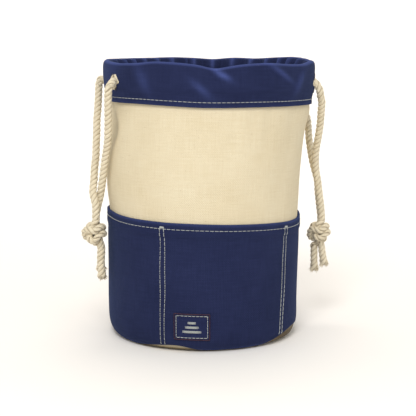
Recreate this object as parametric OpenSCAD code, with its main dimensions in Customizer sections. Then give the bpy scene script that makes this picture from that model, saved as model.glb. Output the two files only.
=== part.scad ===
// Drawstring sack of heavy canvas: a round base, a natural body panel, a navy pocket band round the lower
// half, and a navy casing round the mouth that holds two three-strand cotton drawstrings.
// Frame: origin at the centre of the base's underside, +Z up through the mouth, -Y the front, +X the right.

/* [Sack] */
// Height of the rim above the floor
sack_h = 266; // [245:1:300]
// Radius of the cloth wall behind the pocket band
wall_r = 92; // [88:0.5:95]
// Thickness of one layer of canvas
canvas_t = 1.2; // [0.8:0.1:1.4]

/* [Mouth] */
// Width of the mouth over the casing, side to side
mouth_w = 205; // [200:1:210]
// Depth of the mouth over the casing, front to back
mouth_d = 172; // [168:1:182]
// Height of the navy casing, rim to hem edge
casing_h = 40.5; // [40:0.5:44]

/* [Pockets] */
// Height of the pocket band above the floor
band_h = 121.5; // [105:0.5:140]
// Angle of the front pocket between its two dividers
front_pocket = 80; // [66:1:90]
// Distance between the two needle rows of a divider
needle_gap = 5.6; // [4:0.2:8]

/* [Drawstrings] */
// Diameter of the rope
rope_d = 7.5; // [6:0.1:7.6]
// Angle of each buttonhole from the sack's side, on the oval
hole_turn = 22; // [18:1:24]
// Width of a tied overhand knot
knot_d = 24.8; // [22:0.2:27]
// Height of a tied overhand knot
knot_h = 24; // [20:1:28]

/* [Label] */
// Width of the woven label
label_w = 34; // [20:1:50]
// Height of the woven label
label_h = 25; // [15:1:32]

/* [Hidden] */

NATURAL = [0.90, 0.84, 0.69];
NAVY = [0.13, 0.17, 0.36];
ROPE = [0.86, 0.80, 0.66];
THREAD = [0.78, 0.78, 0.72];

facets = 48;                // flats round the oval, shared by every layer so that layers stay parallel
gap = 0.15;                 // air between two layers of cloth
thread_t = 0.5;             // how far a row of stitches stands out
rope_r = rope_d / 2;

// The casing is a flattened tube: its two walls stand this far either side of the wall line
lane_half = rope_r + 0.35;
casing_half = lane_half + canvas_t;
casing_z = sack_h - casing_h;
casing_a = mouth_w / 2 - casing_half;
casing_b = mouth_d / 2 - casing_half;
hem_z = casing_z + 5;       // the casing's row of stitches
channel_z = casing_z + 11;  // above this height the casing is wide enough for the ropes
panel_top = casing_z + 8;   // the body panel ends inside the casing
base_edge_z = 6;            // the base turns up to meet the walls here
turn_up_z = 16;             // and above this height the walls stand straight
base_flat_r = wall_r - 8.4;
base_t = 1.4;

// Wall line of the sack, half its width and half its depth at each height: round at the base, oval at the mouth
half_width = [[0, wall_r - 4], [base_edge_z, wall_r - 2.2], [turn_up_z, wall_r - 0.2], [band_h / 2, wall_r],
              [band_h - 6, wall_r + 0.8], [band_h + 6, wall_r + 1.4],
              [(band_h + casing_z) / 2, mix(wall_r + 1.4, casing_a, 0.42)],
              [casing_z, casing_a], [sack_h, casing_a]];
half_depth = [[0, wall_r - 4], [base_edge_z, wall_r - 2.2], [turn_up_z, wall_r - 0.2], [band_h / 2, wall_r],
              [band_h - 6, wall_r + 0.4], [band_h + 6, wall_r + 0.2],
              [(band_h + casing_z) / 2, mix(wall_r + 0.2, casing_b + 6.4, 0.3)],
              [casing_z, casing_b + 6.4], [channel_z, casing_b], [sack_h, casing_b]];

function mix(a, b, share) = a + (b - a) * share;
function unit(v) = v / norm(v);
function on_sack(turn, off, z) =
    [(lookup(z, half_width) + off) * cos(turn), (lookup(z, half_depth) + off) * sin(turn), z];

// Drawstring lanes: the left rope runs above the right one, and each leaves by two buttonholes on its own side
left_lane_z = sack_h - 16;
right_lane_z = sack_h - 23.7;
slot_w = rope_d + 0.7;
slot_h = 13;
stub = 3;                   // how far the rope inside the casing stands out of its buttonholes
left_elbow = [-102, 0, left_lane_z - 1];
right_elbow = [102.5, 0, right_lane_z + 1.1];

// Hanging routes from the elbow line down to the knots, as offsets from each side's elbow
left_knot_at = [-10.3, 0.8, -146.1];
right_knot_at = [16.2, -5.5, -151.5];
left_front_route = [[0, -36, 0], [-2.6, -36.4, -6.6], [-3.1, -34.5, -13.2], [-2.2, -30, -24.4],
                    [-1.1, -25, -36.8], [-0.3, -20, -49.2], [0.3, -14, -61], [-0.7, -8, -75.5],
                    [-2.1, -2, -96], [-3.2, 1, -107], [-3.9, 2.6, -113], [-5.4, 3.6, -119],
                    [-7.5, 4.4, -130], [-7.5, 4.4, -133.8]];
left_back_route = [[0.6, 35.5, 0], [1.6, 34.4, -8], [1.4, 31.5, -17.6], [0.6, 27, -29], [-1.1, 23, -40.3],
                   [-2.4, 19, -51.5], [-3.8, 15.5, -62.7], [-5.1, 12, -74], [-7.3, 8.5, -85],
                   [-9, 4.5, -96.3], [-10.9, 1, -107], [-10.4, -1.6, -113], [-9.4, -3.2, -119],
                   [-9.3, -3.3, -130], [-9.3, -3.3, -133.8]];
right_front_route = [[0, -36, 0], [1.5, -36, -6], [3.5, -34, -12], [6.2, -31, -18], [7.3, -28, -24],
                     [8.2, -25, -30], [9.4, -21, -39.5], [9.7, -17.5, -49], [9.5, -14.5, -58],
                     [9.1, -12, -67], [9.6, -10, -77], [10.7, -9, -88], [12.7, -8.7, -98],
                     [14.5, -8.7, -110], [16.4, -8.7, -122.5], [17.6, -8.9, -135], [17.6, -8.9, -139.2]];
right_back_route = [[0, 36, 0], [3, 35, -7], [7, 31.5, -17], [10.6, 25.5, -27.5], [12.4, 19, -38],
                    [12, 14.5, -49], [11.4, 11, -59], [11.7, 8, -68], [12.4, 5, -78], [14, 3, -87],
                    [16.4, 0.2, -99.5], [16.9, -1, -111], [18.4, -1.2, -123.5], [19.8, -1.6, -135],
                    [19.8, -1.6, -139.2]];

// Tails below the knots, as offsets from the knot's centre
left_front_tail_route = [[6.2, -1.8, -12.2], [6.2, -1.8, -14], [6.5, -1.4, -18], [6.2, -0.6, -29],
                         [6.8, -0.6, -43.4]];
left_back_tail_route = [[7.6, 5.8, -12.2], [7.6, 5.8, -14], [8.6, 6.2, -18], [9.4, 6.9, -28], [9.8, 7.2, -39]];
right_front_tail_route = [[2.2, -2.8, -12.2], [2.2, -2.8, -14], [2.4, -2.8, -17], [3.4, -3.2, -24],
                          [4.8, -3.4, -32.5]];
right_back_tail_route = [[-3.4, 3, -12.2], [-3.4, 3, -14], [-3.6, 2.8, -17], [-3.7, 2.4, -28], [-3.4, 2, -38]];

// Walls ------------------------------------------------------------------

// A strip of cloth swept round the oval. Each row is [outer point, inner point], and a point is [off, z].
module swept(rows, from = 0, to = 360, steps = facets) {
    full = to - from >= 360;
    n = full ? steps : steps + 1;
    k = len(rows);
    points = [for (i = [0:n - 1], row = rows, p = row) on_sack(from + (to - from) * i / steps, p[0], p[1])];
    function at(i, j, side) = ((i + n) % n) * 2 * k + 2 * j + side;
    function quad(a, b, c, d) = [[a, b, c], [a, c, d]];
    last = full ? n - 1 : n - 2;
    faces = concat(
        [for (i = [0:last], j = [0:k - 2], f = concat(
            quad(at(i, j, 0), at(i, j + 1, 0), at(i + 1, j + 1, 0), at(i + 1, j, 0)),
            quad(at(i, j, 1), at(i + 1, j, 1), at(i + 1, j + 1, 1), at(i, j + 1, 1)))) f],
        [for (i = [0:last], f = concat(
            quad(at(i, 0, 0), at(i + 1, 0, 0), at(i + 1, 0, 1), at(i, 0, 1)),
            quad(at(i, k - 1, 0), at(i, k - 1, 1), at(i + 1, k - 1, 1), at(i + 1, k - 1, 0)))) f],
        full ? [] : [for (j = [0:k - 2], f = concat(
            quad(at(0, j, 0), at(0, j, 1), at(0, j + 1, 1), at(0, j + 1, 0)),
            quad(at(n - 1, j, 0), at(n - 1, j + 1, 0), at(n - 1, j + 1, 1), at(n - 1, j, 1)))) f]);
    polyhedron(points, faces);
}

// Rows of one layer of cloth between two offsets, at the given heights
function layer(heights, inner, outer) = [for (z = heights) [[outer, z], [inner, z]]];

wall_heights = [base_edge_z + 0.1, turn_up_z, band_h / 2, band_h - 6, band_h + 6, (band_h + casing_z) / 2,
                casing_z, panel_top];

module body_panel() {
    color(NATURAL) swept(layer(wall_heights, -canvas_t, 0));
}

// The lap where the panel's two ends are felled together, down the back
module body_seam() {
    color(NATURAL)
        swept(layer([band_h + 2, (band_h + casing_z) / 2, casing_z - 1], gap / 2, gap / 2 + canvas_t),
              87, 93, 2);
}

// Base -------------------------------------------------------------------

module base_disc() {
    edge_r = lookup(base_edge_z, half_width);
    color(NATURAL) rotate_extrude($fn = 96)
        polygon([[0, 0], [base_flat_r, 0], [base_flat_r + 3.6, 0.9], [edge_r + 1, 4.2], [edge_r + 1.2, base_edge_z],
                 [edge_r - canvas_t, base_edge_z], [edge_r - 1.8, 4.6], [base_flat_r + 2.8, 2.2],
                 [base_flat_r - 0.4, base_t], [0, base_t]]);
}

// Tape that binds the base seam's raw edges, turned up inside the wall
module base_binding() {
    outer_r = wall_r - 4.2;
    color(NATURAL) translate([0, 0, base_edge_z + 1]) difference() {
        cylinder(r = outer_r, h = 9, $fn = 96);
        translate([0, 0, -1]) cylinder(r = outer_r - 2.2, h = 11, $fn = 96);
    }
}

// Pocket band ------------------------------------------------------------

band_out = gap + canvas_t;              // outer face of the band against the wall
hem_out = 2 * (gap + canvas_t);         // outer face of the band over its turned hem
hem_low = band_h - 12;
pocket_turn = 269;                      // the middle of the front pocket

module pocket_band() {
    color(NAVY) swept(concat(
        layer([base_edge_z + 0.1, turn_up_z, band_h / 2, hem_low - 5], gap, band_out),
        layer([hem_low, band_h - 6, band_h], hem_out - canvas_t, hem_out)));
}

// The turned-in layer of the band's top hem
module pocket_hem() {
    color(NAVY) swept(layer([hem_low + 0.4, band_h - 6, band_h - 0.2], gap, band_out - gap / 2));
}

module band_seam() {
    color(NAVY)
        swept(layer([12, turn_up_z, band_h / 2, hem_low - 6], band_out + gap / 2, band_out + gap / 2 + canvas_t),
              87, 93, 2);
}

// A row of stitches round the sack at one height, over a face at that offset
module thread_ring(z, face) {
    color(THREAD) swept(layer([z - 0.45, z + 0.45], face + 0.05, face + thread_t));
}

module pocket_hem_thread() {
    thread_ring(band_h - 6, hem_out);
}

// Two needle rows from the base to the hem, with a bar tack across their tops
module divider_thread(turn) {
    row_half = 0.45 / wall_r * 180 / PI;
    apart = needle_gap / 2 / wall_r * 180 / PI;
    up = concat(
        layer([8, turn_up_z, band_h / 2, hem_low - 5], band_out + 0.05, band_out + thread_t),
        layer([hem_low, band_h - 6.6], hem_out + 0.05, hem_out + thread_t));
    tack = layer([band_h - 5.4, band_h - 4], hem_out + 0.05, hem_out + thread_t + 0.3);
    color(THREAD) {
        for (side = [-1, 1])
            swept(up, turn + side * apart - row_half, turn + side * apart + row_half, 1);
        swept(tack, turn - apart - row_half, turn + apart + row_half, 2);
    }
}

// Casing -----------------------------------------------------------------

// Section of the casing from its outer hem, over the rim, to its inner hem
function casing_rows() =
    let (t = canvas_t, w = lane_half, v = casing_half, top = sack_h, low = casing_z)
    [[[gap + t, low], [gap, low]],
     [[gap + t, low + 6], [gap, low + 6.2]],
     [[v, channel_z], [w, channel_z + 0.8]],
     [[v, top - 8], [w, top - 8]],
     [[v - 1.4, top - 3], [w - 1.1, top - 3.7]],
     [[v - 3.6, top - 0.6], [w - 2.8, top - 1.7]],
     [[0, top], [0, top - 1.3]],
     [[3.6 - v, top - 0.6], [2.8 - w, top - 1.7]],
     [[1.4 - v, top - 3], [1.1 - w, top - 3.7]],
     [[-v, top - 8], [-w, top - 8]],
     [[-v, channel_z], [-w, channel_z + 0.8]],
     [[-gap - 2 * t, low + 6], [-gap - t, low + 6.2]],
     [[-gap - 2 * t, low + 1], [-gap - t, low + 1]]];

// Puts children at a buttonhole: +X outwards through the cloth, +Z up, origin on the casing's outer face
module at_hole(turn, z) {
    p = on_sack(turn, casing_half, z);
    normal = atan2(sin(turn) / casing_b, cos(turn) / casing_a);
    translate(p) rotate([0, 0, normal]) children();
}

module slot_outline(w, h) {
    square([h - w, w], center = true);
    for (side = [-1, 1]) translate([side * (h - w) / 2, 0]) circle(d = w, $fn = 32);
}

module slot_bar(w, h, depth) {
    rotate([0, 90, 0]) linear_extrude(depth) slot_outline(w, h);
}

holes = [[180 + hole_turn, left_lane_z], [180 - hole_turn, left_lane_z],
         [-hole_turn, right_lane_z], [hole_turn, right_lane_z]];

module casing() {
    color(NAVY) difference() {
        swept(casing_rows());
        for (hole = holes) at_hole(hole[0], hole[1])
            translate([-4.5, 0, 0]) slot_bar(slot_w, slot_h, 9);
    }
}

module casing_seam() {
    color(NAVY)
        swept(layer([channel_z + 1, sack_h - 9], casing_half + gap, casing_half + gap + canvas_t), 87, 93, 2);
}

module casing_hem_thread() {
    thread_ring(hem_z, gap + canvas_t);
}

// Overcast edge of a buttonhole
module buttonhole(hole) {
    rim = 1.5;
    color(NAVY) at_hole(hole[0], hole[1]) translate([0.1, 0, 0]) difference() {
        slot_bar(slot_w + 2 * rim, slot_h + 2 * rim, 0.8);
        translate([-1, 0, 0]) slot_bar(slot_w, slot_h, 3);
    }
}

// Label ------------------------------------------------------------------

label_turn = 246.2;
label_z = 25;

module label_piece(w, h, z, turn, inner, outer, steps) {
    half = w / 2 / (wall_r + band_out) * 180 / PI;
    heights = [for (at = [z - h / 2, turn_up_z, z + h / 2]) if (at >= z - h / 2 && at <= z + h / 2) at];
    swept(layer(heights, band_out + inner, band_out + outer), turn - half, turn + half, steps);
}

module label_patch() {
    color(NAVY) label_piece(label_w, label_h, label_z, label_turn, 0.1, 0.9, 4);
}

module label_thread() {
    inset = 2.2;
    turn_half = (label_w / 2 - inset) / (wall_r + band_out) * 180 / PI;
    color(THREAD) {
        for (side = [-1, 1]) {
            label_piece(label_w - 2 * inset, 0.8, label_z + side * (label_h / 2 - inset), label_turn, 0.95, 1.3, 4);
            label_piece(0.8, label_h - 2 * inset - 1, label_z, label_turn + side * turn_half, 0.95, 1.3, 1);
        }
    }
}

// A plain woven emblem: three bars, shortest on top
module label_motif() {
    color(THREAD) for (i = [0:2])
        label_piece(8 + 5 * i, 1.2, label_z + 4 - 4 * i, label_turn, 0.95, 1.3, 2);
}

// Drawstrings ------------------------------------------------------------

// A tube of the rope's diameter along a route; across is a direction that the route never runs along, and
// scale gives the radius at each point as a share of the rope's
module tube(route, across, sides = 10, scale = []) {
    n = len(route);
    function heading(i) = unit(route[min(i + 1, n - 1)] - route[max(i - 1, 0)]);
    function radius(i) = rope_r * (i < len(scale) ? scale[i] : 1);
    function ring(i) = let (u = unit(cross(across, heading(i))), v = cross(heading(i), u))
        [for (s = [0:sides - 1]) route[i] + radius(i) * (u * cos(360 * s / sides) + v * sin(360 * s / sides))];
    points = [for (i = [0:n - 1], p = ring(i)) p];
    faces = concat(
        [[for (s = [0:sides - 1]) s]],
        [for (i = [0:n - 2], s = [0:sides - 1]) let (a = i * sides + s, b = i * sides + (s + 1) % sides)
            for (f = [[a, a + sides, b + sides], [a, b + sides, b]]) f],
        [[for (s = [sides - 1:-1:0]) (n - 1) * sides + s]]);
    polyhedron(points, faces);
}

// The way from a buttonhole into the lane: a quarter turn from the cloth's normal to the lane's direction
function bend(turn, z, way, angles) =
    let (normal = unit([cos(turn) / casing_a, sin(turn) / casing_b, 0]), along = way * [-normal[1], normal[0], 0])
    [for (a = angles) on_sack(turn, casing_half, z)
        + (a < 0 ? stub * normal : casing_half * ((1 - cos(a)) * along - sin(a) * normal))];

// The rope inside the casing: once round its lane, and out through the cloth at both ends
module rope_in_casing(side, z) {
    start = side < 0 ? 180 + hole_turn : hole_turn;
    end = start + 360 - 2 * hole_turn;
    pitch = 360 / facets;
    color(ROPE) tube(concat(
        bend(start, z, 1, [-1, 0, 22.5, 45, 67.5, 90]),
        [for (turn = [start + pitch:pitch:end - pitch]) on_sack(turn, 0, z)],
        bend(end, z, -1, [90, 67.5, 45, 22.5, 0, -1])), [0, 0, 1], 8);
}

// A hanging strand: a round end on the elbow line, and a tube down to the knot
module strand(elbow, route) {
    back = unit(route[0] - route[1]);
    dome = [75, 50, 25];
    color(ROPE) translate(elbow)
        tube(concat([for (a = dome) route[0] + rope_r * sin(a) * back], route), [0, 1, 0],
             scale = [for (a = dome) cos(a)]);
}

module tail(elbow, knot_at, route) {
    color(ROPE) translate(elbow + knot_at) tube(route, [0, 1, 0]);
}

// Outer shape of an overhand knot tied in both strands
module knot(elbow, knot_at) {
    flat_r = knot_d / 2 - 3.8;
    arc_steps = 10;
    color(ROPE) translate(elbow + knot_at) rotate_extrude($fn = 48)
        polygon(concat([[0, -knot_h / 2]],
            [for (i = [0:arc_steps]) let (turn = -90 + 180 * i / arc_steps)
                [flat_r + (knot_d / 2 - flat_r) * cos(turn), knot_h / 2 * sin(turn)]],
            [[0, knot_h / 2]]));
}

base_disc();
base_binding();
body_panel();
body_seam();
pocket_band();
pocket_hem();
band_seam();
pocket_hem_thread();
divider_thread(pocket_turn - front_pocket / 2);  // divider_thread_front_left
divider_thread(pocket_turn + front_pocket / 2);  // divider_thread_front_right
divider_thread(pocket_turn - 180 + front_pocket / 2);  // divider_thread_back_left
divider_thread(pocket_turn - 180 - front_pocket / 2);  // divider_thread_back_right
casing();
casing_seam();
casing_hem_thread();
buttonhole(holes[0]);  // buttonhole_left_front
buttonhole(holes[1]);  // buttonhole_left_back
buttonhole(holes[2]);  // buttonhole_right_front
buttonhole(holes[3]);  // buttonhole_right_back
label_patch();
label_thread();
label_motif();
rope_in_casing(-1, left_lane_z);  // left_rope_in_casing
rope_in_casing(1, right_lane_z);  // right_rope_in_casing
strand(left_elbow, left_front_route);  // left_front_strand
strand(left_elbow, left_back_route);  // left_back_strand
knot(left_elbow, left_knot_at);  // left_knot
tail(left_elbow, left_knot_at, left_front_tail_route);  // left_front_tail
tail(left_elbow, left_knot_at, left_back_tail_route);  // left_back_tail
strand(right_elbow, right_front_route);  // right_front_strand
strand(right_elbow, right_back_route);  // right_back_strand
knot(right_elbow, right_knot_at);  // right_knot
tail(right_elbow, right_knot_at, right_front_tail_route);  // right_front_tail
tail(right_elbow, right_knot_at, right_back_tail_route);  // right_back_tail
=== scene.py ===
"""Looks of a canvas drawstring sack: a round-based sack of natural canvas with a navy pocket band, a navy
casing round the mouth, and two laid cotton drawstrings that are knotted at each side.

Shapes are worked out in millimetres in the frame's own axes and become metres when a mesh is made. A place
on the sack is (turn, off, z): the angle round the sack's axis, the distance outside the natural panel's outer
face, and the height.
"""

import math

import bpy
import numpy as np
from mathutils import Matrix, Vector


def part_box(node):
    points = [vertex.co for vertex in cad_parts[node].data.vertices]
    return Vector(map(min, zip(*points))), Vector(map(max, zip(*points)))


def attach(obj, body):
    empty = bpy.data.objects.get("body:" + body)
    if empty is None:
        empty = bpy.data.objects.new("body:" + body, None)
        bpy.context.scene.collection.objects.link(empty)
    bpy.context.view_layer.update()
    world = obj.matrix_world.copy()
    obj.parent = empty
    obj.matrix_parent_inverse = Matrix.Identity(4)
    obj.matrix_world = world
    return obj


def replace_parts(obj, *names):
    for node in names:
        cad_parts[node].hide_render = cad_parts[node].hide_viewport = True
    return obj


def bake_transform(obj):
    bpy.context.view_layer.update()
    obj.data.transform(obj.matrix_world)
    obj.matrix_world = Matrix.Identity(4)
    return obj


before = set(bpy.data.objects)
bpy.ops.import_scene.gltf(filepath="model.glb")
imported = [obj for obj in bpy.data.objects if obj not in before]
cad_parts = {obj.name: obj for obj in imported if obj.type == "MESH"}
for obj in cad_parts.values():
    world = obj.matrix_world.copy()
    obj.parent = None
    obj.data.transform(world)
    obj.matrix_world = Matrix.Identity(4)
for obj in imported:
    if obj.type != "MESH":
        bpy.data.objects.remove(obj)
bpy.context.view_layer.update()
MM = 0.001
PI = math.pi


def low_high(node):
    """Lowest and highest corner of a CAD node, in mm."""
    low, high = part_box(node)
    return np.array(low) / MM, np.array(high) / MM


def unit(vectors):
    return vectors / (np.linalg.norm(vectors, axis=-1, keepdims=True) + 1e-12)


def distances(line):
    """How far along a polyline each of its points lies."""
    return np.concatenate([[0], np.cumsum(np.linalg.norm(np.diff(line, axis=0), axis=1))])


# Driving dimensions, mm -----------------------------------------------------

CASING_LOW, CASING_HIGH = low_high("casing")
BAND_HIGH = low_high("pocket_band")[1]
RIM_Z = CASING_HIGH[2]
CASING_Z = CASING_LOW[2]
BAND_Z = BAND_HIGH[2]
CLOTH_T = 1.2                       # one layer of canvas
GAP = 0.15                          # air between layers
WALL_R = 92.0
CASING_HALF = 5.3                   # half the casing's thickness where the ropes run
CASING_A = CASING_HIGH[0] - CASING_HALF
CASING_B = CASING_HIGH[1] - CASING_HALF - 3.0
CHANNEL_Z = CASING_Z + 11
HEM_STITCH_Z = CASING_Z + 5.3
BAND_STITCH_Z = BAND_Z - 6.2
ROPE_R = 3.75
LAY = 14.5                          # length of one turn of the rope's strands
LEFT_LANE_Z = RIM_Z - 16
RIGHT_LANE_Z = RIM_Z - 23.7
# Each buttonhole: angle, how far it sits from its rope's lane, and how far it flattens the rope
BUTTONHOLES = {"left_front": (194.3, -3.0, 5.0), "left_back": (158, -4.0, 2.0),
               "right_front": (338, 2.4, 1.2), "right_back": (22, 0, 2.0)}
LABEL_TURN, LABEL_Z, LABEL_W, LABEL_H = 246.2, 25.0, 33.6, 25.0
SEAM_TURN = 90                      # every lap seam is down the back
CAMERA_SWING = math.radians(18)     # the camera stands this far to the left of the sack's front
SIDEWAYS = np.array([math.cos(CAMERA_SWING), -math.sin(CAMERA_SWING)])    # to the camera's right


# Shape of the sack ----------------------------------------------------------

def ease(x, low, high):
    t = np.clip((x - low) / (high - low), 0, 1)
    return t * t * (3 - 2 * t)


def bump(x, centre, width):
    return np.exp(-(((x - centre) / width) ** 2) / 2)


def degrees_from(turn, degrees):
    """Angles round the sack, measured in degrees from one of them."""
    return (np.degrees(turn) - degrees + 180) % 360 - 180


def facing(turn, degrees, width):
    """A bump round the sack, centred at an angle in degrees."""
    return bump(degrees_from(turn, degrees), 0, width)


HEIGHTS = [0, 1, 3, 6, 11, 17, 60, BAND_Z - 6, BAND_Z + 8, 173, CASING_Z, RIM_Z]
HALF_WIDTH = [83.8, 85.4, 87.4, 89.3, 91, 91.8, 92, 92.6, 93.4, 95, CASING_A - 0.6, CASING_A]
HALF_DEPTH = [83.8, 85.4, 87.4, 89.3, 91, 91.8, 92, 92.3, 92.2, 90.6, CASING_B + 5.6, CASING_B]


def half_axes(z):
    spread = np.array([-3, -1.5, 0, 1.5, 3])
    soften = np.clip(z / 12, 0, 1)
    a = sum(np.interp(z + d * soften, HEIGHTS, HALF_WIDTH) for d in spread) / len(spread)
    b = sum(np.interp(z + d * soften, HEIGHTS, HALF_DEPTH) for d in spread) / len(spread)
    return a, b


def round_table(turn, table, soften=3.0):
    """A value that is given at a few angles round the sack, smoothly joined up."""
    degrees = np.arange(-360, 720.0)
    known = sorted((d + lap, value) for d, value in table for lap in (-720, -360, 0, 360, 720))
    line = np.interp(degrees, *zip(*known))
    kernel = np.exp(-((np.arange(-12, 13) / soften) ** 2) / 2)
    line = np.convolve(line, kernel / kernel.sum(), mode="same")
    return np.interp(np.degrees(turn) % 360, degrees, line)


# How high the edges are lifted round the sack: (angle in degrees, mm)
RIM_LIFT = [(0, 0.9), (15, 2.1), (31, 1.1), (45, -0.4), (60, 0.7), (72, -1.4), (83, 0.3), (97, 1.3),
            (111, 0.8), (140, 0.8), (166, 1.2), (186, -0.4), (197, -1.8), (214, -1.1), (224, 0.8),
            (233, 0.3), (243, -1.0), (251, -2.7), (258, -6.8), (264, -4.3), (272, -2.0), (281, -1.3),
            (290, -1.0), (302, -2.6), (318, -3.2), (332, -0.5), (350, -0.6)]
CASING_LIFT = [(186, 2.2), (214, 1.9), (232, 0.9), (252, -0.9), (280, -0.9), (308, -1.6), (339, -2.2),
               (20, -0.5), (90, 0.3), (150, 0.8)]
BAND_LIFT = [(177, 3.0), (197, 1.6), (215, 0.8), (228, 0.3), (254, -0.5), (283, -2.6), (305, -4.7),
             (315, -5.6), (327, -6.0), (340, -4.0), (358, -0.5), (20, 0.5), (90, 0), (150, 1.5)]
BAND_FOOT = [(205, 0), (212, 1), (222, 3), (231, 4.8), (238, 5.5), (244, 3), (249, 0.5), (285, 0.2),
             (292, 0.8), (297, 3), (304, 7), (312, 10), (322, 11.5), (334, 10), (345, 7), (10, 3), (60, 2.5),
             (100, 1), (150, 2), (180, 0.5)]
# Soft ridges in the casing: angle at the rim and at the hem, where up the casing, how long, height, width
CASING_FOLDS = ((258, 275.5, 0.80, 0.13, 3.4, 2.2), (288, 320, 0.74, 0.17, 1.8, 2.6),
                (238, 257, 0.36, 0.15, 1.5, 2.8), (214, 222, 0.55, 0.25, 1.0, 3.5),
                (318, 306, 0.5, 0.2, 1.2, 3.0), (20, 12, 0.5, 0.2, 1.6, 3.0),
                (120, 131, 0.55, 0.25, 1.6, 3.0), (172, 178, 0.7, 0.2, 0.8, 3.0))
# Valleys that hang from the casing's seam: angle, depth, width
FLUTES = ((269, 0.75, 2.2), (279.5, 0.6, 2.2), (290, 0.7, 2.4), (214, 1.0, 6), (310, 0.5, 3), (35, 0.8, 4),
          (60, 0.6, 3), (105, 0.8, 5), (128, 0.7, 3))
# Hollows and swells of the sides: angle, its spread, height, its spread, and how far the cloth moves
SIDE_FORM = ((342, 26, 222, 13, 3.2), (166, 18, BAND_Z, 12, -1.6), (181, 14, 80, 26, -1.3),
             (352, 14, 98, 24, 0.8), (352, 14, 18, 14, -0.7), (352, 14, BAND_Z + 1, 9, -1.2))


def undulate(turn, z, seed, waves, height):
    """Smooth random ripples: a few sine waves of chosen wave numbers, drifting with height."""
    rng = np.random.default_rng(seed)
    z = z / height
    total = 0
    for wave in waves:
        phase, drift, slope = rng.uniform(0, 2 * PI), rng.uniform(0.6, 1.5), rng.uniform(-1, 1)
        total = total + np.sin(wave * turn + phase + slope * z) * np.cos(drift * z + phase)
    return total / math.sqrt(len(waves))


def crease_turn(z):
    """Where the crease on the left side runs: its angle at a height, in degrees."""
    return 183.5 + 10.8 * bump(z, 204, 15)


def push(turn, off, z):
    """How far the cloth stands out from a plain oval, in mm."""
    body = ease(z, 14, 40)
    out = 0.45 * body * undulate(turn, z, 3, (3, 5, 7), 60)
    out = out + 0.25 * body * undulate(turn, z, 8, (11, 14, 19), 35)
    # the crease between the two left ropes has a crisp edge and a hollow behind it
    edge = np.degrees(turn) % 360 - crease_turn(z)
    crease = 1.2 * bump(edge, 0.5, 3) - 2.2 * bump(edge, -6, 4) - 2.0 * bump(edge, -16, 12)
    out = out + bump(z, 203, 20) * crease
    for centre, width, level, height, amount in SIDE_FORM:
        out = out + amount * facing(turn, centre, width) * bump(z, level, height)
    out = out + 2.8 * facing(turn, 311, 15) * (1 - ease(z, 2, 20))
    for centre, depth, width in FLUTES:
        out = out - depth * facing(turn, centre, width) * ease(z, 165, 215) * (1 - ease(z, 228, 240))
    # the seams draw the cloth in, and it puckers beside them
    for stitch_z in (HEM_STITCH_Z, BAND_STITCH_Z):
        out = out + 0.16 * bump(z, stitch_z, 5) * undulate(turn, z, 5, (53, 71, 90), 9)
        out = out - 0.25 * bump(z, stitch_z, 1.6)
    return out + casing_push(turn, off, z)


def pleats(turn):
    """The pleats that the drawstrings leave in the back of the casing: where they are, and their wave."""
    back = ease(np.cos(turn - math.radians(75)), 0.05, 0.5)
    return back, np.cos(np.degrees(turn) / 11.5 * 2 * PI + 1.4 * np.sin(3 * turn)) ** 3


def casing_ridges(turn, z):
    """Each ridge of the casing: how high it is here, and how many of its widths away its crest is."""
    share = (z - CASING_Z - 4) / (RIM_Z - CASING_Z - 4)
    for rim_turn, hem_turn, middle, length, height, width in CASING_FOLDS:
        crest = hem_turn + (rim_turn - hem_turn) * share
        yield height * bump(share, middle, length), degrees_from(turn, crest) / width


def casing_push(turn, off, z):
    """The casing's own folds: a dip at the front, ridges that run down from the rim, pleats at the back."""
    up = ease(z, CASING_Z + 9, RIM_Z - 3)
    inner = np.where(off < -1, 1.0, 0.0)
    out = -4.0 * facing(turn, 257.5, 6.0) * ease(z, CASING_Z + 16, RIM_Z)
    for height, away in casing_ridges(turn, z):
        out = out + height * (bump(away, 0, 1) - 0.5 * bump(away, -1.6, 1))
    back, wave = pleats(turn)
    out = out + up * back * (1.6 * wave + 3.0 * inner * (wave - 1))
    right = 0.8 + 1.1 * ease(z, CASING_Z + 18, CASING_Z + 34) - 1.1 * bump(z, CASING_Z + 2, 5)
    out = out + facing(turn, 342, 24) * right
    return out + 0.5 * up * undulate(turn, z, 21, (9, 13, 17), 20)


def rise(turn, z):
    """How far the cloth is lifted: the rim's uneven edge, and the wavy lines of the hems."""
    lift = round_table(turn, RIM_LIFT) * ease(z, CASING_Z + 12, RIM_Z)
    lift = lift + round_table(turn, CASING_LIFT, 6) * bump(z, CASING_Z + 2, 9)
    return lift + round_table(turn, BAND_LIFT, 5) * bump(z, BAND_Z - 3, 13)


def lean(z):
    """The sack leans to the camera's right towards the top."""
    return -3.4 + 6.1 * ease(z, 135, 250)


def cloth(turn, off, z):
    """The point at (turn, off, z) on the sack, all in mm."""
    turn, off, z = np.broadcast_arrays(*(np.asarray(value, float) for value in (turn, off, z)))
    a, b = half_axes(z)
    out = off + push(turn, off, z)
    normal = unit(np.stack([np.cos(turn) / a, np.sin(turn) / b], -1))
    xy = np.stack([a * np.cos(turn), b * np.sin(turn)], -1) + out[..., None] * normal
    xy = xy + lean(z)[..., None] * SIDEWAYS
    return np.concatenate([xy, (z + rise(turn, z))[..., None]], -1)


# Meshes ---------------------------------------------------------------------

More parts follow.
